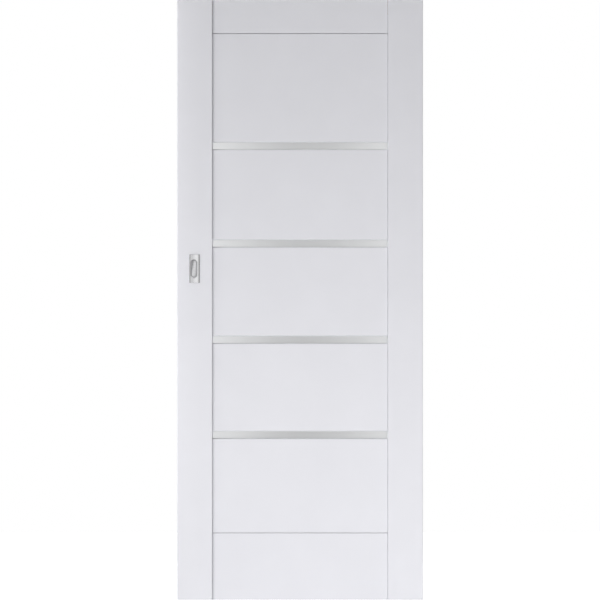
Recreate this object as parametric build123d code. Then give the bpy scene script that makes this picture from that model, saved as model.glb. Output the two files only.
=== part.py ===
from build123d import *
import math
import os

# Leaf of a top-hung sliding interior door, 832 mm wide, 2030 mm high and 40 mm thick
#
# Two full-height stiles hold a top rail, a bottom rail and five flat panels. Four narrow strips
# of satin glass lie between the panels, each in a rubber seal. Stiles and rails are timber cores
# faced with boards on both sides, and the outer edges are lipped with hardwood. The leading stile
# has a flush pull in each face. Hanger plates screw to the top edge, and a groove along the
# bottom edge runs over the floor guide.
#
# The origin is the middle of the top edge. +X runs from the leading edge, which has the pulls, to
# the trailing edge. +Y runs from the front face to the back face, and +Z is up. All sizes are in
# millimetres.

# The whole leaf, without the pulls
LEAF_W = 832.0
LEAF_H = 2030.0
LEAF_T = 40.0

# Widths and heights seen from the front, where the top panel takes what the others leave
STILE_W = 118.5
TOP_RAIL_H = 112.5
BOTTOM_RAIL_H = 226.0
LOWER_PANEL_HEIGHTS = (303.0, 299.0, 295.0, 319.0)
GLASS_SIGHT_H = 27.0

# Boards and lippings, and how far rails and panels lie back from the face of the stiles
FACING_T = 4.0
LIPPING_T = 8.0
INFILL_SETBACK = 5.2

# Tongue and groove joints, and the shadow gaps that show in front of the tongues
GROOVE_W = 10.0
GROOVE_D = 12.0
TONGUE_SIDE_CLEARANCE = 0.2
TONGUE_END_CLEARANCE = 1.0
STILE_GAP = 0.8
RAIL_GAP = 1.5

# Rounded and eased edges
STILE_OUTER_R = 2.0
STILE_INNER_R = 0.6
END_EASE = 1.0
INFILL_EASE = 1.0

# Glass strips and their seals
GLASS_T = 4.0
GLASS_BITE = 8.0
SEAL_LIP = 2.0
SEAL_SLOPE = 1.5

# Flush pulls
PULL_CENTRE_H = 1121.0
PLATE_W = 36.0
PLATE_H = 96.0
PLATE_CORNER_R = 1.5
PLATE_EDGE_T = 0.9
PLATE_BEVEL_W = 4.6
PLATE_BEVEL_RISE = 1.3
PLATE_CROWN_T = 3.0
PLATE_RIM_EASE = 0.3
DISH_W = 21.0
DISH_H = 61.0
DISH_OFF_MIDDLE = -1.8
DISH_DEPTH = 13.5
DISH_DRAFT = 8.0
FLOOR_ACROSS_R = 36.0
FLOOR_ALONG_R = 140.0
FLOOR_EDGE_EASE = 1.5
DISH_MOUTH_EASE = 0.8
CUP_WALL = 1.5
POCKET_CLEARANCE = 0.3

# Groove for the floor guide, along the whole bottom edge
GUIDE_W = 8.0
GUIDE_D = 18.0

# Pilot holes for the two hanger plates, in the tops of the stiles
PILOT_R = 2.0
PILOT_DEPTH = 50.0
PILOT_SPACING_X = 60.0
PILOT_SPACING_Y = 16.0

# What follows from the sizes above
LEADING, TRAILING = -1, 1
FRONT, BACK = -1, 1
HALF_LEAF = LEAF_W / 2
HALF_OPENING = HALF_LEAF - STILE_W
STILE_CENTRE = HALF_LEAF - STILE_W / 2
BOTTOM_EDGE = -LEAF_H
GLASS_COUNT = len(LOWER_PANEL_HEIGHTS)
TOP_PANEL_H = LEAF_H - TOP_RAIL_H - BOTTOM_RAIL_H - sum(LOWER_PANEL_HEIGHTS) - GLASS_COUNT * GLASS_SIGHT_H
STILE_FACE = LEAF_T / 2
INFILL_FACE = STILE_FACE - INFILL_SETBACK
HALF_INFILL = HALF_OPENING - STILE_GAP
CORE_T = LEAF_T - 2 * FACING_T
TONGUE_T = GROOVE_W - 2 * TONGUE_SIDE_CLEARANCE
TONGUE_L = GROOVE_D - TONGUE_END_CLEARANCE
CUP_DEPTH = DISH_DEPTH - PLATE_CROWN_T + CUP_WALL
CUP_MARGIN = CUP_WALL - PLATE_CROWN_T * math.tan(math.radians(DISH_DRAFT))

# How far a cut runs past the surface that it opens, and how closely an edge is looked up
CUT_PAST = 1.0
NEAR = 0.01


def block(x, y, z):
    """Box between two coordinates on each axis, given in either order."""
    sizes = [abs(b - a) for a, b in (x, y, z)]
    centre = [(a + b) / 2 for a, b in (x, y, z)]
    return Pos(*centre) * Box(*sizes)


def edges_at(part, along, *places):
    """Straight edges of part that run along one axis and lie at each (axis, value) given."""
    found = part.edges().filter_by(along)
    for across, value in places:
        found = found.filter_by_position(across, value - NEAR, value + NEAR)
    return found


def guide_groove():
    """Groove of the floor guide, through the whole width of the leaf."""
    return block(
        (-HALF_LEAF - CUT_PAST, HALF_LEAF + CUT_PAST),
        (-GUIDE_W / 2, GUIDE_W / 2),
        (BOTTOM_EDGE - CUT_PAST, BOTTOM_EDGE + GUIDE_D),
    )


def edge_groove(edge, into):
    """Groove along the edge of a panel or rail: into is 1 where the wood lies above, -1 below."""
    return block(
        (-HALF_LEAF, HALF_LEAF),
        (-GROOVE_W / 2, GROOVE_W / 2),
        (edge - into * CUT_PAST, edge + into * GROOVE_D),
    )


def pull_slot(margin, depth, draft):
    """Obround larger than the finger dish by a margin, going down from z = 0 with drafted sides."""
    outline = SlotOverall(DISH_H + 2 * margin, DISH_W + 2 * margin, rotation=90)
    return Pos(DISH_OFF_MIDDLE, 0, 0) * extrude(outline, amount=depth, dir=(0, 0, -1), taper=draft)


def on_pull_seat(shape, side):
    """Moves a shape drawn face up round z = 0 onto the front or back face of the leading stile."""
    turned = Rot(0, 0, 0 if side == FRONT else 180) * Rot(90, 0, 0) * shape
    return Pos(-STILE_CENTRE, side * STILE_FACE, BOTTOM_EDGE + PULL_CENTRE_H) * turned


def pull_pockets():
    """Pockets that take the cups of the two flush pulls."""
    pocket = pull_slot(CUP_MARGIN + POCKET_CLEARANCE, CUP_DEPTH + POCKET_CLEARANCE, 0)
    return [on_pull_seat(pocket, side) for side in (FRONT, BACK)]


def pilot_holes(hand):
    """Four blind holes for the screws of one hanger plate, in the top of a stile."""
    holes = []
    for dx in (-PILOT_SPACING_X / 2, PILOT_SPACING_X / 2):
        for dy in (-PILOT_SPACING_Y / 2, PILOT_SPACING_Y / 2):
            place = Pos(hand * STILE_CENTRE + dx, dy, 0)
            holes.append(place * Cylinder(PILOT_R, 2 * PILOT_DEPTH))
    return holes


def stile_core(hand):
    """Timber core of a stile: grooved inside for tongues and glass, and below for the guide."""
    inner, outer = hand * HALF_OPENING, hand * (HALF_LEAF - LIPPING_T)
    core = block((inner, outer), (-CORE_T / 2, CORE_T / 2), (BOTTOM_EDGE, 0))
    core -= block(
        (inner - hand * CUT_PAST, inner + hand * GROOVE_D),
        (-GROOVE_W / 2, GROOVE_W / 2),
        (BOTTOM_EDGE - CUT_PAST, CUT_PAST),
    )
    core -= guide_groove()
    core -= pilot_holes(hand)
    if hand == LEADING:
        core -= pull_pockets()
    return core


def stile_lipping(hand):
    """Hardwood lipping between the facings, down the outer edge of a stile."""
    outer = hand * HALF_LEAF
    strip = block((outer - hand * LIPPING_T, outer), (-CORE_T / 2, CORE_T / 2), (BOTTOM_EDGE, 0))
    return strip - guide_groove()


def stile_facing(hand, side):
    """Board on one face of a stile, over core and lipping, with rounded long edges."""
    board = block(
        (hand * HALF_OPENING, hand * HALF_LEAF),
        (side * CORE_T / 2, side * STILE_FACE),
        (BOTTOM_EDGE, 0),
    )
    face = (Axis.Y, side * STILE_FACE)
    board = chamfer(edges_at(board, Axis.X, face), END_EASE)
    board = fillet(edges_at(board, Axis.Z, face, (Axis.X, hand * HALF_LEAF)), STILE_OUTER_R)
    board = fillet(edges_at(board, Axis.Z, face, (Axis.X, hand * HALF_OPENING)), STILE_INNER_R)
    if hand == LEADING:
        board -= pull_pockets()
    return board


def rail_core(panel_edge, free_edge):
    """Timber core of a rail, with a tongue at each end and a groove in the edge at a panel."""
    half_t = INFILL_FACE - FACING_T
    into = 1 if free_edge > panel_edge else -1
    core = block((-HALF_INFILL, HALF_INFILL), (-half_t, half_t), (panel_edge, free_edge))
    core += block(
        (-HALF_OPENING - TONGUE_L, HALF_OPENING + TONGUE_L),
        (-TONGUE_T / 2, TONGUE_T / 2),
        (panel_edge, free_edge),
    )
    return core - edge_groove(panel_edge, into) - guide_groove()


def rail_facing(side, panel_edge, free_edge):
    """Board on one face of a rail, with the edges of its face eased."""
    seat, face = side * (INFILL_FACE - FACING_T), side * INFILL_FACE
    board = block((-HALF_INFILL, HALF_INFILL), (seat, face), (panel_edge, free_edge))
    eased = edges_at(board, Axis.X, (Axis.Y, face)) + edges_at(board, Axis.Z, (Axis.Y, face))
    return chamfer(eased, INFILL_EASE)


def panel(top, bottom, tongue_above, tongue_below):
    """Flat panel: tongues at its ends, and a tongue or a glass groove along its top and bottom."""
    board_top = top - RAIL_GAP if tongue_above else top
    board_bottom = bottom + RAIL_GAP if tongue_below else bottom
    board = block(
        (-HALF_INFILL, HALF_INFILL),
        (-INFILL_FACE, INFILL_FACE),
        (board_bottom, board_top),
    )
    board = chamfer(board.edges().filter_by(Axis.X) + board.edges().filter_by(Axis.Z), INFILL_EASE)
    board += block(
        (-HALF_OPENING - TONGUE_L, HALF_OPENING + TONGUE_L),
        (-TONGUE_T / 2, TONGUE_T / 2),
        (
            bottom - (TONGUE_L if tongue_below else 0),
            top + (TONGUE_L if tongue_above else 0),
        ),
    )
    if not tongue_above:
        board -= edge_groove(top, -1)
    if not tongue_below:
        board -= edge_groove(bottom, 1)
    return board


def glass_strip(top, bottom):
    """Pane of satin glass whose edges lie in the grooves of the panels and stiles."""
    return block(
        (-HALF_OPENING - GLASS_BITE, HALF_OPENING + GLASS_BITE),
        (-GLASS_T / 2, GLASS_T / 2),
        (bottom - GLASS_BITE, top + GLASS_BITE),
    )


def glass_seal(top, bottom):
    """Rubber frame round a pane, filling the grooves, with sloped lips that show on the glass."""
    ring = block(
        (-HALF_OPENING - GROOVE_D, HALF_OPENING + GROOVE_D),
        (-GROOVE_W / 2, GROOVE_W / 2),
        (bottom - GROOVE_D, top + GROOVE_D),
    )
    ring -= block(
        (-HALF_OPENING + SEAL_LIP, HALF_OPENING - SEAL_LIP),
        (-GROOVE_W, GROOVE_W),
        (bottom + SEAL_LIP, top - SEAL_LIP),
    )
    lips = []
    for side in (FRONT, BACK):
        at_face = (Axis.Y, side * GROOVE_W / 2)
        lips += edges_at(ring, Axis.X, at_face).filter_by_position(Axis.Z, bottom, top)
        lips += edges_at(ring, Axis.Z, at_face).filter_by_position(Axis.X, -HALF_OPENING, HALF_OPENING)
    return chamfer(lips, SEAL_SLOPE) - glass_strip(top, bottom)


def finger_dish():
    """Space of the finger dish, drawn from z = 0 down: an obround pocket with a dished floor.

    The floor is an arc across the pocket, turned about an axis far above that runs the same way.
    """
    half_w, axis_z = DISH_W / 2 + CUT_PAST, FLOOR_ALONG_R - DISH_DEPTH
    side_z = FLOOR_ACROSS_R - math.sqrt(FLOOR_ACROSS_R**2 - half_w**2) - DISH_DEPTH
    floor = ThreePointArc((-half_w, side_z), (0, -DISH_DEPTH), (half_w, side_z))
    rest = Polyline((half_w, side_z), (half_w, axis_z), (-half_w, axis_z), (-half_w, side_z))
    barrel = revolve(Plane.XZ * make_face(floor + rest), Axis((0, 0, axis_z), (1, 0, 0)), 360)
    dish = pull_slot(0, DISH_DEPTH, DISH_DRAFT) & Pos(DISH_OFF_MIDDLE, 0, 0) * barrel
    floor_edge = dish.edges().filter_by(lambda edge: edge.bounding_box().max.Z < -DISH_DEPTH / 2)
    return chamfer(floor_edge, FLOOR_EDGE_EASE)


def flush_pull():
    """Cast pull, drawn face up: a plate crowned between two bevels, and a cup with the finger dish."""
    half_w, half_crown = PLATE_W / 2, PLATE_W / 2 - PLATE_BEVEL_W
    bevel_top = PLATE_EDGE_T + PLATE_BEVEL_RISE
    crown = ThreePointArc((-half_crown, bevel_top), (0, PLATE_CROWN_T), (half_crown, bevel_top))
    right = Polyline((half_crown, bevel_top), (half_w, PLATE_EDGE_T), (half_w, 0))
    left = Polyline((-half_w, 0), (-half_w, PLATE_EDGE_T), (-half_crown, bevel_top))
    section = Plane.XZ * make_face(crown + right + Line((half_w, 0), (-half_w, 0)) + left)
    plate = extrude(section, amount=PLATE_H / 2, both=True)
    plate &= extrude(RectangleRounded(PLATE_W, PLATE_H, PLATE_CORNER_R), amount=PLATE_CROWN_T)
    rim = plate.edges().filter_by(
        lambda edge: edge.bounding_box().min.Z > PLATE_EDGE_T - NEAR
        and (abs(edge.center().X) > half_crown + NEAR or abs(edge.center().Y) > DISH_H / 2)
    )
    plate = chamfer(rim, PLATE_RIM_EASE)

    cup = pull_slot(CUP_MARGIN, CUP_DEPTH, DISH_DRAFT)
    pull = plate + cup - Pos(0, 0, PLATE_CROWN_T) * finger_dish()
    mouth = pull.edges().filter_by(
        lambda edge: edge.bounding_box().min.Z > PLATE_EDGE_T + NEAR
        and abs(edge.center().X - DISH_OFF_MIDDLE) < DISH_W / 2 + NEAR
        and abs(edge.center().Y) < DISH_H / 2 + NEAR
    )
    return chamfer(mouth, DISH_MOUTH_EASE)


def build_leaf():
    """Every piece of the leaf by name, laid out from the top edge down."""
    pieces = {}
    for hand, stile in ((LEADING, "leading"), (TRAILING, "trailing")):
        pieces[f"{stile}_stile_core"] = stile_core(hand)
        pieces[f"{stile}_edge_lipping"] = stile_lipping(hand)
        for side, face in ((FRONT, "front"), (BACK, "back")):
            pieces[f"{stile}_stile_{face}_facing"] = stile_facing(hand, side)

    under_top_rail = -TOP_RAIL_H
    over_bottom_rail = BOTTOM_EDGE + BOTTOM_RAIL_H
    rails = (("top_rail", under_top_rail, 0), ("bottom_rail", over_bottom_rail, BOTTOM_EDGE))
    for rail, panel_edge, free_edge in rails:
        pieces[f"{rail}_core"] = rail_core(panel_edge, free_edge)
        for side, face in ((FRONT, "front"), (BACK, "back")):
            pieces[f"{rail}_{face}_facing"] = rail_facing(side, panel_edge, free_edge)

    top = under_top_rail
    for number, height in enumerate((TOP_PANEL_H, *LOWER_PANEL_HEIGHTS), start=1):
        bottom = top - height
        first, last = number == 1, number > GLASS_COUNT
        pieces[f"panel_{number}"] = panel(top, bottom, first, last)
        if not last:
            top = bottom - GLASS_SIGHT_H
            pieces[f"glass_strip_{number}"] = glass_strip(bottom, top)
            pieces[f"glass_seal_{number}"] = glass_seal(bottom, top)

    pull = flush_pull()
    pieces["front_flush_pull"] = on_pull_seat(pull, FRONT)
    pieces["back_flush_pull"] = on_pull_seat(pull, BACK)
    return pieces


os.makedirs("parts", exist_ok=True)
for name, piece in build_leaf().items():
    export_step(piece, f"parts/{name}.step")
print(f"leaf {LEAF_W:g} x {LEAF_H:g} x {LEAF_T:g} mm, top panel {TOP_PANEL_H:g} mm high")
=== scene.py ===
import bpy
import math
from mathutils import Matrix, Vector


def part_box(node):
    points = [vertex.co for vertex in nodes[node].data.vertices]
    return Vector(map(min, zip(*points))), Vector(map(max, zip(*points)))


# Finishes, light and camera of the sliding door leaf
#
# The leaf stands in its own frame. The origin is the middle of its top edge, +X runs to the
# trailing edge, +Y to the back and +Z up. Lengths are in metres.

MM = 0.001

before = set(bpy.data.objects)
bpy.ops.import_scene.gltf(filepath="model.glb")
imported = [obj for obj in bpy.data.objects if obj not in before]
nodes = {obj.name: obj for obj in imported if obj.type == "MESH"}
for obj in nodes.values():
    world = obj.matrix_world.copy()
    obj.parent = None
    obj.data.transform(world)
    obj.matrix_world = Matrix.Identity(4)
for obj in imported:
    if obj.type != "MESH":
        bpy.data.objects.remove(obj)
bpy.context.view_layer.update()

# Places read from the leaf
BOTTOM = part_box("leading_stile_core")[0].z
MIDDLE_Z = BOTTOM / 2
FACE_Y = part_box("leading_stile_front_facing")[0].y
LEADING_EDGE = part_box("leading_edge_lipping")[0].x

# Where the wood is bare: the sawn ends, the guide groove, and the screw holes, which lie between
# the lippings. Each reaches a little past its cut.
CUT_SKIN = 0.1 * MM
GUIDE_HALF_W = 4.1 * MM
GUIDE_D = 18.1 * MM
HOLES_REACH = 390 * MM
HOLES_HALF_W = 10.1 * MM
HOLES_D = 50.1 * MM

# Steel nearer than this to the middle of the leaf's thickness is in the dish of a pull
DISH_WITHIN = 19.5 * MM

# Shades, each at its place on its pattern, which runs from 0 to 1
FOIL_SHADES = ((0.30, "#E7E7EC"), (0.70, "#E9E9EE"))
FIBREBOARD_SHADES = ((0.30, "#8C7256"), (0.50, "#A78B6B"), (0.72, "#C4AB89"))
PINE_SHADES = ((0.0, "#E2CA9F"), (0.6, "#D4B887"), (0.9, "#B0875A"), (1.0, "#E2CA9F"))
BEECH_SHADES = ((0.35, "#C79B72"), (0.60, "#DDB891"))
GLASS_SHADES = ((0.30, "#F5F6F7"), (0.70, "#F8F9FA"))
RUBBER_SHADES = ((0.30, "#E8E9EC"), (0.70, "#EEEFF2"))
STEEL_SHADES = ((0.30, "#E8E8EA"), (0.70, "#F0F0F2"))
FLOOR_COLOUR = "#F4F4F4"
WHITE = "#FFFFFF"
BLACK = "#000000"

# Real sizes of the patterns, and the coarser ones that are drawn where the real is too fine
FOIL_DRIFT = 150 * MM
FOIL_PEEL = 4 * MM
FIBRE_CLUMP = 1.4 * MM
LAMELLA_W = 28 * MM
FIRST_LAMELLA = 7 * MM
PITH_REACH = 120 * MM
RING_SPACING = 3.2 * MM
RING_WANDER = 9 * MM
WANDER_LENGTH = 60 * MM
BEECH_FLECK = 1.2 * MM
FLECK_STRETCH = 12.5
GLASS_DRIFT = 40 * MM
ETCHED_GRAIN = 1.5 * MM
RUBBER_BLOOM = 6 * MM
RUBBER_GRAIN = 0.8 * MM
BRUSH_LINE = 0.7 * MM
BRUSH_STRETCH = 50

# Layers of finer noise in a soft pattern, in a fine one and in matted fibres
SOFT_DETAIL = 2.0
FINE_DETAIL = 3.0
FIBRE_DETAIL = 4.0

# Lowest and highest roughness of each finish, and the depth of its bumps
FOIL_ROUGHNESS = (0.38, 0.48)
GLASS_ROUGHNESS = (0.46, 0.52)
RUBBER_ROUGHNESS = (0.60, 0.72)
STEEL_ROUGHNESS = (0.08, 0.36)
PEEL_DEPTH = 0.02 * MM
ETCHED_DEPTH = 0.01 * MM
RUBBER_DEPTH = 0.02 * MM
BRUSH_DEPTH = 0.002 * MM

# How far up that range bare wood is lifted, and the dish's share in where the steel lies in it
WOOD_DULLER = 0.5
DISH_SHARE = 0.5

GLASS_IOR = 1.52

# Floor and camera
FLOOR_GAP = 6 * MM
FLOOR_HALF = 5.0
FLOOR_ROUGHNESS = 0.9
LENS_MM = 300.0
SENSOR_MM = 36.0

# Light, where a level is the share of its own colour that a surface facing the lamp shows
WORLD_LEVEL = 0.19
SUN_PLACE = Vector((0, 0, 2))
LAMP_SPREAD = math.radians(20)
KEY_LEVEL = 0.49
KEY_FROM = Vector((-0.79, -0.48, 0.38))
BACK_LEVEL = 0.28
BACK_FROM = Vector((0.60, 0.55, 0.58))
FRONT_WATTS = 16.5
FRONT_PLACE = Vector((0, -2.2, BOTTOM + 0.15))
FRONT_SHINE = Vector((0, 1, 0))
FRONT_SIZE = (4.0, 0.25)
REAR_WATTS = 30.0
REAR_PLACE = Vector((0, 2.6, MIDDLE_Z))
REAR_SHINE = Vector((0, -1, 0))
REAR_SIZE = (4.0, 1.0)
EDGE_WATTS = 0.28
EDGE_PLACE = Vector((LEADING_EDGE - 0.083, FACE_Y - 0.035, -0.82))
EDGE_SHINE = Vector((1.0, 0.0, -0.023))
EDGE_SIZE = (0.02, 1.75)

# How strongly the floor glows as it is seen, and as light on the leaf
FLOOR_LIFT = 0.65
FLOOR_GLOW = 0.34

# What polished surfaces mirror: how bright the studio is by sideways direction, -1 to 1, where
# the bright screen leans to the right as it rises
MIRRORED_STUDIO = ((-0.52, 0.42), (-0.42, 0.78), (-0.28, 0.84), (-0.19, 0.62),
                   (-0.07, 0.80), (0.06, 0.98), (0.18, 0.92), (0.27, 0.46),
                   (0.40, 0.16), (0.52, 0.48), (0.62, 0.20))
MIRRORED_LEAN = 0.85

# Glowing grey screen behind the leaf, which only the light through the glass meets, and how
# bright it is by x. Its glow paints shade into each glass strip: darker in the middle, lighter
# at the ends
SCREEN_PLACE = Vector((0, 1.0, MIDDLE_Z))
SCREEN_HALF_W = 0.36
SCREEN_HALF_H = 3.0
SCREEN_SHADES = ((-0.36, 1.0), (0.0, 0.38), (0.36, 0.88))


def linear(hex_colour):
    """sRGB hex as the linear RGBA that the shaders take."""
    shares = [int(hex_colour[i:i + 2], 16) / 255 for i in (1, 3, 5)]
    return (*[s / 12.92 if s <= 0.04045 else ((s + 0.055) / 1.055) ** 2.4 for s in shares], 1.0)


def add(tree, kind, inputs=None, output=0, stops=None, **settings):
    """Adds one node with its inputs, settings and colour stops, and returns one of its outputs.

    Inputs are values or sockets by name or number. A Mix node has its two numbers at 2 and 3 and
    its two colours at 6 and 7. Stops are pairs of a place and a colour, as hex or linear RGBA.
    """
    node = tree.nodes.new(kind)
    for name, value in settings.items():
        setattr(node, name, value)
    for key, value in (inputs or {}).items():
        if isinstance(value, bpy.types.NodeSocket):
            tree.links.new(value, node.inputs[key])
        else:
            node.inputs[key].default_value = value
    if stops:
        elements = node.color_ramp.elements
        while len(elements) < len(stops):
            elements.new(0.5)
        for element, (place, colour) in zip(elements, stops):
            element.position = place
            element.color = linear(colour) if isinstance(colour, str) else colour
    return node.outputs[output] if len(node.outputs) else node


def new_material(name):
    """Node material: returns it with its tree, its shader and the Object coordinates."""
    material = bpy.data.materials.new(name)
    material.use_nodes = True
    tree = material.node_tree
    tree.nodes.clear()
    surface = add(tree, "ShaderNodeBsdfPrincipled")
    add(tree, "ShaderNodeOutputMaterial", {"Surface": surface})
    place = add(tree, "ShaderNodeTexCoord", output="Object")
    return material, tree, surface.node, place


def finish(tree, shader, colour, rough_pattern, roughness, bump_pattern, bump_depth):
    """Links colour, a roughness between its lowest and highest, and a bump of this depth."""
    lowest, highest = roughness
    rough = add(tree, "ShaderNodeMapRange",
                {"Value": rough_pattern, "To Min": lowest, "To Max": highest})
    normal = add(tree, "ShaderNodeBump", {"Height": bump_pattern, "Distance": bump_depth})
    tree.links.new(colour, shader.inputs["Base Color"])
    tree.links.new(rough, shader.inputs["Roughness"])
    tree.links.new(normal, shader.inputs["Normal"])


def within(tree, value, half):
    """1 where a value lies nearer to 0 than half, else 0."""
    distance = add(tree, "ShaderNodeMath", {0: value}, operation="ABSOLUTE")
    return add(tree, "ShaderNodeMath", {0: distance, 1: half}, operation="LESS_THAN")


def bare_wood(tree, place):
    """1 on the sawn ends of the leaf, in the guide groove and in the screw holes, else 0."""
    xyz = add(tree, "ShaderNodeSeparateXYZ", {"Vector": place}).node.outputs
    from_middle = add(tree, "ShaderNodeMath", {0: xyz["Z"], 1: MIDDLE_Z}, operation="SUBTRACT")
    between_ends = within(tree, from_middle, -MIDDLE_Z - CUT_SKIN)
    ends = add(tree, "ShaderNodeMath", {0: 1.0, 1: between_ends}, operation="SUBTRACT")
    low = add(tree, "ShaderNodeMath", {0: xyz["Z"], 1: BOTTOM + GUIDE_D}, operation="LESS_THAN")
    groove = add(tree, "ShaderNodeMath", {0: within(tree, xyz["Y"], GUIDE_HALF_W), 1: low},
                 operation="MULTIPLY")
    high = add(tree, "ShaderNodeMath", {0: xyz["Z"], 1: -HOLES_D}, operation="GREATER_THAN")
    holes = add(tree, "ShaderNodeMath", {0: within(tree, xyz["Y"], HOLES_HALF_W), 1: high},
                operation="MULTIPLY")
    holes = add(tree, "ShaderNodeMath", {0: within(tree, xyz["X"], HOLES_REACH), 1: holes},
                operation="MULTIPLY")
    cuts = add(tree, "ShaderNodeMath", {0: groove, 1: holes}, operation="MAXIMUM")
    return add(tree, "ShaderNodeMath", {0: ends, 1: cuts}, operation="MAXIMUM")


def fibreboard(tree, place):
    """Dense fibreboard. It gives the eye a warm brown, speckled by clumps of matted fibres."""
    fibres = add(tree, "ShaderNodeTexNoise",
                 {"Vector": place, "Scale": 1 / FIBRE_CLUMP, "Detail": FIBRE_DETAIL})
    return add(tree, "ShaderNodeValToRGB", {"Fac": fibres}, stops=FIBREBOARD_SHADES)


def pine(tree, place, grain):
    """Laminated pine, grain along X or Z. It gives the eye pale rings with darker late wood.

    The ring number is the distance from a pith over the ring spacing, in the plane across the
    grain. Each lamella has a pith of its own, up to a reach away, and slow noise makes the rings
    wander by a few millimetres along the grain.
    """
    xyz = add(tree, "ShaderNodeSeparateXYZ", {"Vector": place}).node.outputs
    wide = add(tree, "ShaderNodeMath", {0: xyz["Z" if grain == "X" else "X"], 1: FIRST_LAMELLA},
               operation="ADD")
    lamella = add(tree, "ShaderNodeMath", {0: wide, 1: LAMELLA_W}, operation="DIVIDE")
    lamella = add(tree, "ShaderNodeMath", {0: lamella}, operation="FLOOR")
    chance = add(tree, "ShaderNodeTexWhiteNoise", {"W": lamella}, output="Color",
                 noise_dimensions="1D")
    pith = add(tree, "ShaderNodeVectorMath", {0: chance, "Scale": PITH_REACH}, operation="SCALE")
    across = add(tree, "ShaderNodeCombineXYZ", {"X": wide, "Y": xyz["Y"]})
    across = add(tree, "ShaderNodeVectorMath", {0: across, 1: pith}, operation="ADD")
    across = add(tree, "ShaderNodeVectorMath", {0: across, 1: (1, 1, 0)}, operation="MULTIPLY")
    radius = add(tree, "ShaderNodeVectorMath", {0: across}, output="Value", operation="LENGTH")
    wander = add(tree, "ShaderNodeTexNoise",
                 {"Vector": place, "Scale": 1 / WANDER_LENGTH, "Detail": SOFT_DETAIL})
    radius = add(tree, "ShaderNodeMath", {0: wander, 1: RING_WANDER, 2: radius},
                 operation="MULTIPLY_ADD")
    ring = add(tree, "ShaderNodeMath", {0: radius, 1: RING_SPACING}, operation="DIVIDE")
    ring = add(tree, "ShaderNodeMath", {0: ring}, operation="FRACT")
    return add(tree, "ShaderNodeValToRGB", {"Fac": ring}, stops=PINE_SHADES)


def beech(tree, place):
    """Solid beech. It gives the eye a pinkish tan with short fine flecks along the grain."""
    stretched = add(tree, "ShaderNodeVectorMath", {0: place, 1: (1, 1, 1 / FLECK_STRETCH)},
                    operation="MULTIPLY")
    flecks = add(tree, "ShaderNodeTexNoise",
                 {"Vector": stretched, "Scale": 1 / BEECH_FLECK, "Detail": FINE_DETAIL})
    return add(tree, "ShaderNodeValToRGB", {"Fac": flecks}, stops=BEECH_SHADES)


def foil_wrapped(name, wood, *wood_settings):
    """Board wrapped in white polypropylene foil, bare where it is sawn.

    It gives the eye a cool, even white with a satin sheen. The tone drifts by under one percent,
    and a faint orange peel comes through from the glue. The real peel is about 1 mm wide and is
    drawn at 4 mm so that it shows.
    """
    material, tree, shader, place = new_material(name)
    drift = add(tree, "ShaderNodeTexNoise",
                {"Vector": place, "Scale": 1 / FOIL_DRIFT, "Detail": SOFT_DETAIL})
    foil = add(tree, "ShaderNodeValToRGB", {"Fac": drift}, stops=FOIL_SHADES)
    bare = bare_wood(tree, place)
    colour = add(tree, "ShaderNodeMix",
                 {"Factor": bare, 6: foil, 7: wood(tree, place, *wood_settings)},
                 output=2, data_type="RGBA")
    peel = add(tree, "ShaderNodeTexNoise",
               {"Vector": place, "Scale": 1 / FOIL_PEEL, "Detail": SOFT_DETAIL})
    dull = add(tree, "ShaderNodeMath", {0: bare, 1: WOOD_DULLER, 2: drift},
               operation="MULTIPLY_ADD")
    finish(tree, shader, colour, dull, FOIL_ROUGHNESS, peel, PEEL_DEPTH)
    return material


def satin_etched_glass():
    """Toughened float glass, acid-etched on both faces.

    It gives the eye a soft neutral grey that lets light through as a glow. The etched grain of
    about 0.1 mm is drawn at 1.5 mm so that it shows.
    """
    material, tree, shader, place = new_material("satin_etched_glass")
    shader.inputs["Transmission Weight"].default_value = 1.0
    shader.inputs["IOR"].default_value = GLASS_IOR
    drift = add(tree, "ShaderNodeTexNoise",
                {"Vector": place, "Scale": 1 / GLASS_DRIFT, "Detail": SOFT_DETAIL})
    colour = add(tree, "ShaderNodeValToRGB", {"Fac": drift}, stops=GLASS_SHADES)
    etching = add(tree, "ShaderNodeTexNoise",
                  {"Vector": place, "Scale": 1 / ETCHED_GRAIN, "Detail": FINE_DETAIL})
    finish(tree, shader, colour, drift, GLASS_ROUGHNESS, etching, ETCHED_DEPTH)
    return material


def grey_elastomer():
    """Extruded thermoplastic elastomer. It gives the eye a matt pale grey with a dry bloom."""
    material, tree, shader, place = new_material("light_grey_elastomer")
    bloom = add(tree, "ShaderNodeTexNoise",
                {"Vector": place, "Scale": 1 / RUBBER_BLOOM, "Detail": FINE_DETAIL})
    colour = add(tree, "ShaderNodeValToRGB", {"Fac": bloom}, stops=RUBBER_SHADES)
    grain = add(tree, "ShaderNodeTexNoise",
                {"Vector": place, "Scale": 1 / RUBBER_GRAIN, "Detail": SOFT_DETAIL})
    finish(tree, shader, colour, bloom, RUBBER_ROUGHNESS, grain, RUBBER_DEPTH)
    return material


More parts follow.
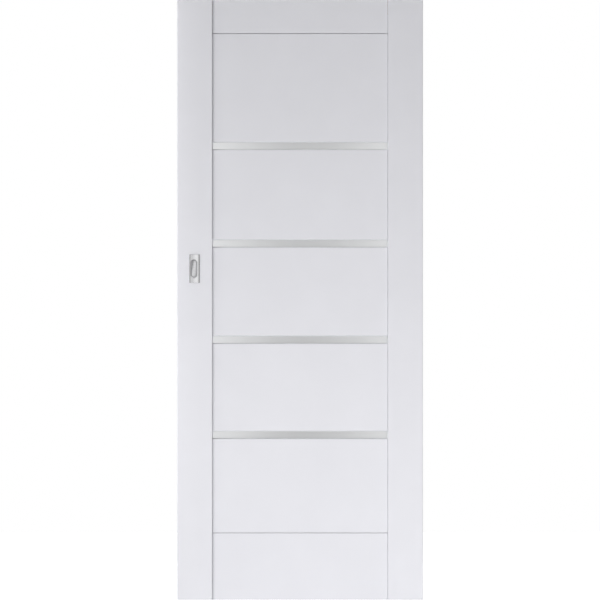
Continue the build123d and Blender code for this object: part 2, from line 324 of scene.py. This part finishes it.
def brushed_steel():
    """Cast stainless steel, satin-brushed sideways.

    It gives the eye a neutral light grey that mirrors broad bands of the room, drawn out by fine
    lines, and blurs them in the dish, which is only blasted. The real lines are about 0.1 mm
    apart and are drawn at 0.7 mm so that they show.
    """
    material, tree, shader, place = new_material("satin_brushed_stainless_steel")
    shader.inputs["Metallic"].default_value = 1.0
    stretched = add(tree, "ShaderNodeVectorMath", {0: place, 1: (1 / BRUSH_STRETCH, 1, 1)},
                    operation="MULTIPLY")
    lines = add(tree, "ShaderNodeTexNoise",
                {"Vector": stretched, "Scale": 1 / BRUSH_LINE, "Detail": FINE_DETAIL})
    colour = add(tree, "ShaderNodeValToRGB", {"Fac": lines}, stops=STEEL_SHADES)
    depth = add(tree, "ShaderNodeSeparateXYZ", {"Vector": place}, output="Y")
    dish = within(tree, depth, DISH_WITHIN)
    dull = add(tree, "ShaderNodeMix", {"Factor": DISH_SHARE, 2: lines, 3: dish})
    finish(tree, shader, colour, dull, STEEL_ROUGHNESS, lines, BRUSH_DEPTH)
    return material


def dress(material, *words):
    """Gives one material to every node whose name holds one of these words."""
    for name, node in nodes.items():
        if any(word in name for word in words):
            for slot in node.material_slots:
                slot.material = material


def set_camera():
    """Straight-on camera whose view is as high as the front face of the leaf."""
    data = bpy.data.cameras.new("camera")
    data.lens = LENS_MM
    data.sensor_width = SENSOR_MM
    distance = -BOTTOM * LENS_MM / SENSOR_MM
    camera = bpy.data.objects.new("camera", data)
    camera.location = (0, FACE_Y - distance, MIDDLE_Z)
    camera.rotation_euler = (math.pi / 2, 0, 0)
    bpy.context.scene.collection.objects.link(camera)
    bpy.context.scene.camera = camera


def hide_from(item, *rays):
    """Keeps a lamp or a sheet out of what these kinds of ray meet."""
    for ray in rays:
        setattr(item, f"visible_{ray}", False)


def add_lamp(name, kind, place, shine_along, energy, **settings):
    """One lamp that shines along a direction, and that camera, gloss and glass don't show."""
    data = bpy.data.lights.new(name, kind)
    data.energy = energy
    for key, value in settings.items():
        setattr(data, key, value)
    lamp = bpy.data.objects.new(name, data)
    lamp.location = place
    lamp.rotation_euler = shine_along.to_track_quat("-Z", "Y").to_euler()
    hide_from(lamp, "camera", "glossy", "transmission")
    bpy.context.scene.collection.objects.link(lamp)


def set_lamps():
    """Soft key from the upper left, two behind, a low one in front and a strip at the left.

    The strip is upright beside the leading edge and leans away from it at the bottom, so the
    leading stile is brightest at its upper outer edge.
    """
    for name, came_from, level in (("key", KEY_FROM, KEY_LEVEL),
                                   ("behind", BACK_FROM, BACK_LEVEL)):
        add_lamp(name, "SUN", SUN_PLACE, -came_from, level * math.pi, angle=LAMP_SPREAD)
    for name, place, shine_along, watts, (width, height) in (
            ("front", FRONT_PLACE, FRONT_SHINE, FRONT_WATTS, FRONT_SIZE),
            ("rear", REAR_PLACE, REAR_SHINE, REAR_WATTS, REAR_SIZE),
            ("edge", EDGE_PLACE, EDGE_SHINE, EDGE_WATTS, EDGE_SIZE)):
        add_lamp(name, "AREA", place, shine_along, watts,
                 shape="RECTANGLE", size=width, size_y=height)


def seen_ray(tree, *kinds):
    """1 for rays of these kinds, else 0."""
    path = add(tree, "ShaderNodeLightPath").node.outputs
    seen = path[kinds[0]]
    for kind in kinds[1:]:
        seen = add(tree, "ShaderNodeMath", {0: seen, 1: path[kind]}, operation="MAXIMUM")
    return seen


def shades_across(tree, across, reach, shades):
    """Grey that follows (place, level) pairs across a value from -reach to reach."""
    place = add(tree, "ShaderNodeMapRange",
                {"Value": across, "From Min": -reach, "From Max": reach})
    stops = [((x / reach + 1) / 2, (level, level, level, 1.0)) for x, level in shades]
    return add(tree, "ShaderNodeValToRGB", {"Fac": place}, stops=stops)


def set_world():
    """White studio: white to the camera and through glass, dimmer as light, banded in gloss.

    What gloss mirrors depends on its direction across a leaning screen: x less a share of z.
    """
    world = bpy.data.worlds.new("studio")
    bpy.context.scene.world = world
    world.use_nodes = True
    tree = world.node_tree
    tree.nodes.clear()
    toward = add(tree, "ShaderNodeTexCoord", output="Generated")
    toward = add(tree, "ShaderNodeSeparateXYZ", {"Vector": toward}).node.outputs
    across = add(tree, "ShaderNodeMath", {0: toward["Z"], 1: -MIRRORED_LEAN, 2: toward["X"]},
                 operation="MULTIPLY_ADD")
    bands = shades_across(tree, across, 1.0, MIRRORED_STUDIO)
    dim = add(tree, "ShaderNodeBackground", {"Strength": WORLD_LEVEL, "Color": linear(WHITE)})
    gloss = add(tree, "ShaderNodeBackground", {"Strength": 1.0, "Color": bands})
    white = add(tree, "ShaderNodeBackground", {"Strength": 1.0, "Color": linear(WHITE)})
    mirrored = seen_ray(tree, "Is Glossy Ray")
    unseen = add(tree, "ShaderNodeMixShader", {0: mirrored, 1: dim, 2: gloss})
    seen = seen_ray(tree, "Is Camera Ray", "Is Transmission Ray")
    studio = add(tree, "ShaderNodeMixShader", {0: seen, 1: unseen, 2: white})
    add(tree, "ShaderNodeOutputWorld", {"Surface": studio})


def stage_sheet(name, middle, across, along):
    """One flat piece of the studio, which isn't part of the leaf.

    Its corners are the middle plus or minus across, plus or minus along.
    """
    corners = [middle + i * across + j * along for i, j in ((-1, -1), (1, -1), (1, 1), (-1, 1))]
    mesh = bpy.data.meshes.new(name)
    mesh.from_pydata(corners, [], [(0, 1, 2, 3)])
    sheet = bpy.data.objects.new(name, mesh)
    bpy.context.scene.collection.objects.link(sheet)
    return sheet


def set_floor():
    """Pale floor just under the leaf, lifted to white where it is clear, with the leaf's shadow.

    From below it is clear, so the underside of the leaf can be seen.
    """
    floor = stage_sheet("floor", Vector((0, 0, BOTTOM - FLOOR_GAP)),
                        Vector((FLOOR_HALF, 0, 0)), Vector((0, FLOOR_HALF, 0)))
    hide_from(floor, "glossy", "transmission")
    material, tree, shader, _ = new_material("white_painted_floor")
    shader.inputs["Base Color"].default_value = linear(FLOOR_COLOUR)
    shader.inputs["Roughness"].default_value = FLOOR_ROUGHNESS
    shader.inputs["Emission Color"].default_value = linear(WHITE)
    seen = seen_ray(tree, "Is Camera Ray", "Is Glossy Ray", "Is Transmission Ray")
    lift = add(tree, "ShaderNodeMapRange",
               {"Value": seen, "To Min": FLOOR_GLOW, "To Max": FLOOR_LIFT})
    tree.links.new(lift, shader.inputs["Emission Strength"])
    paint = shader.outputs[0]
    surface = paint.links[0].to_socket
    below = add(tree, "ShaderNodeNewGeometry", output="Backfacing")
    clear = add(tree, "ShaderNodeBsdfTransparent")
    one_sided = add(tree, "ShaderNodeMixShader", {0: below, 1: paint, 2: clear})
    tree.links.new(one_sided, surface)
    floor.data.materials.append(material)


def set_grey_screen():
    """Glowing screen behind the leaf, darkest in its middle, which paints shade into each glass
    strip, so it glows least in its middle.
    """
    screen = stage_sheet("grey_screen", SCREEN_PLACE,
                         Vector((SCREEN_HALF_W, 0, 0)), Vector((0, 0, SCREEN_HALF_H)))
    hide_from(screen, "camera", "diffuse", "glossy", "shadow")
    material, tree, shader, place = new_material("painted_glass_shade_screen")
    shader.inputs["Base Color"].default_value = linear(BLACK)
    shader.inputs["Specular IOR Level"].default_value = 0.0
    shader.inputs["Emission Strength"].default_value = 1.0
    # The screen's glow by x is painted shade: the glass strips show it darker in their middle
    across = add(tree, "ShaderNodeSeparateXYZ", {"Vector": place}, output="X")
    grey = shades_across(tree, across, SCREEN_HALF_W, SCREEN_SHADES)
    tree.links.new(grey, shader.inputs["Emission Color"])
    screen.data.materials.append(material)


dress(foil_wrapped("white_foil_on_fibreboard", fibreboard), "facing", "panel")
dress(foil_wrapped("white_foil_on_pine_stile", pine, "Z"), "stile_core")
dress(foil_wrapped("white_foil_on_pine_rail", pine, "X"), "rail_core")
dress(foil_wrapped("white_foil_on_beech", beech), "lipping")
dress(satin_etched_glass(), "glass_strip")
dress(grey_elastomer(), "glass_seal")
dress(brushed_steel(), "flush_pull")

set_camera()
set_lamps()
set_world()
set_floor()
set_grey_screen()
bpy.context.scene.view_settings.view_transform = "Standard"
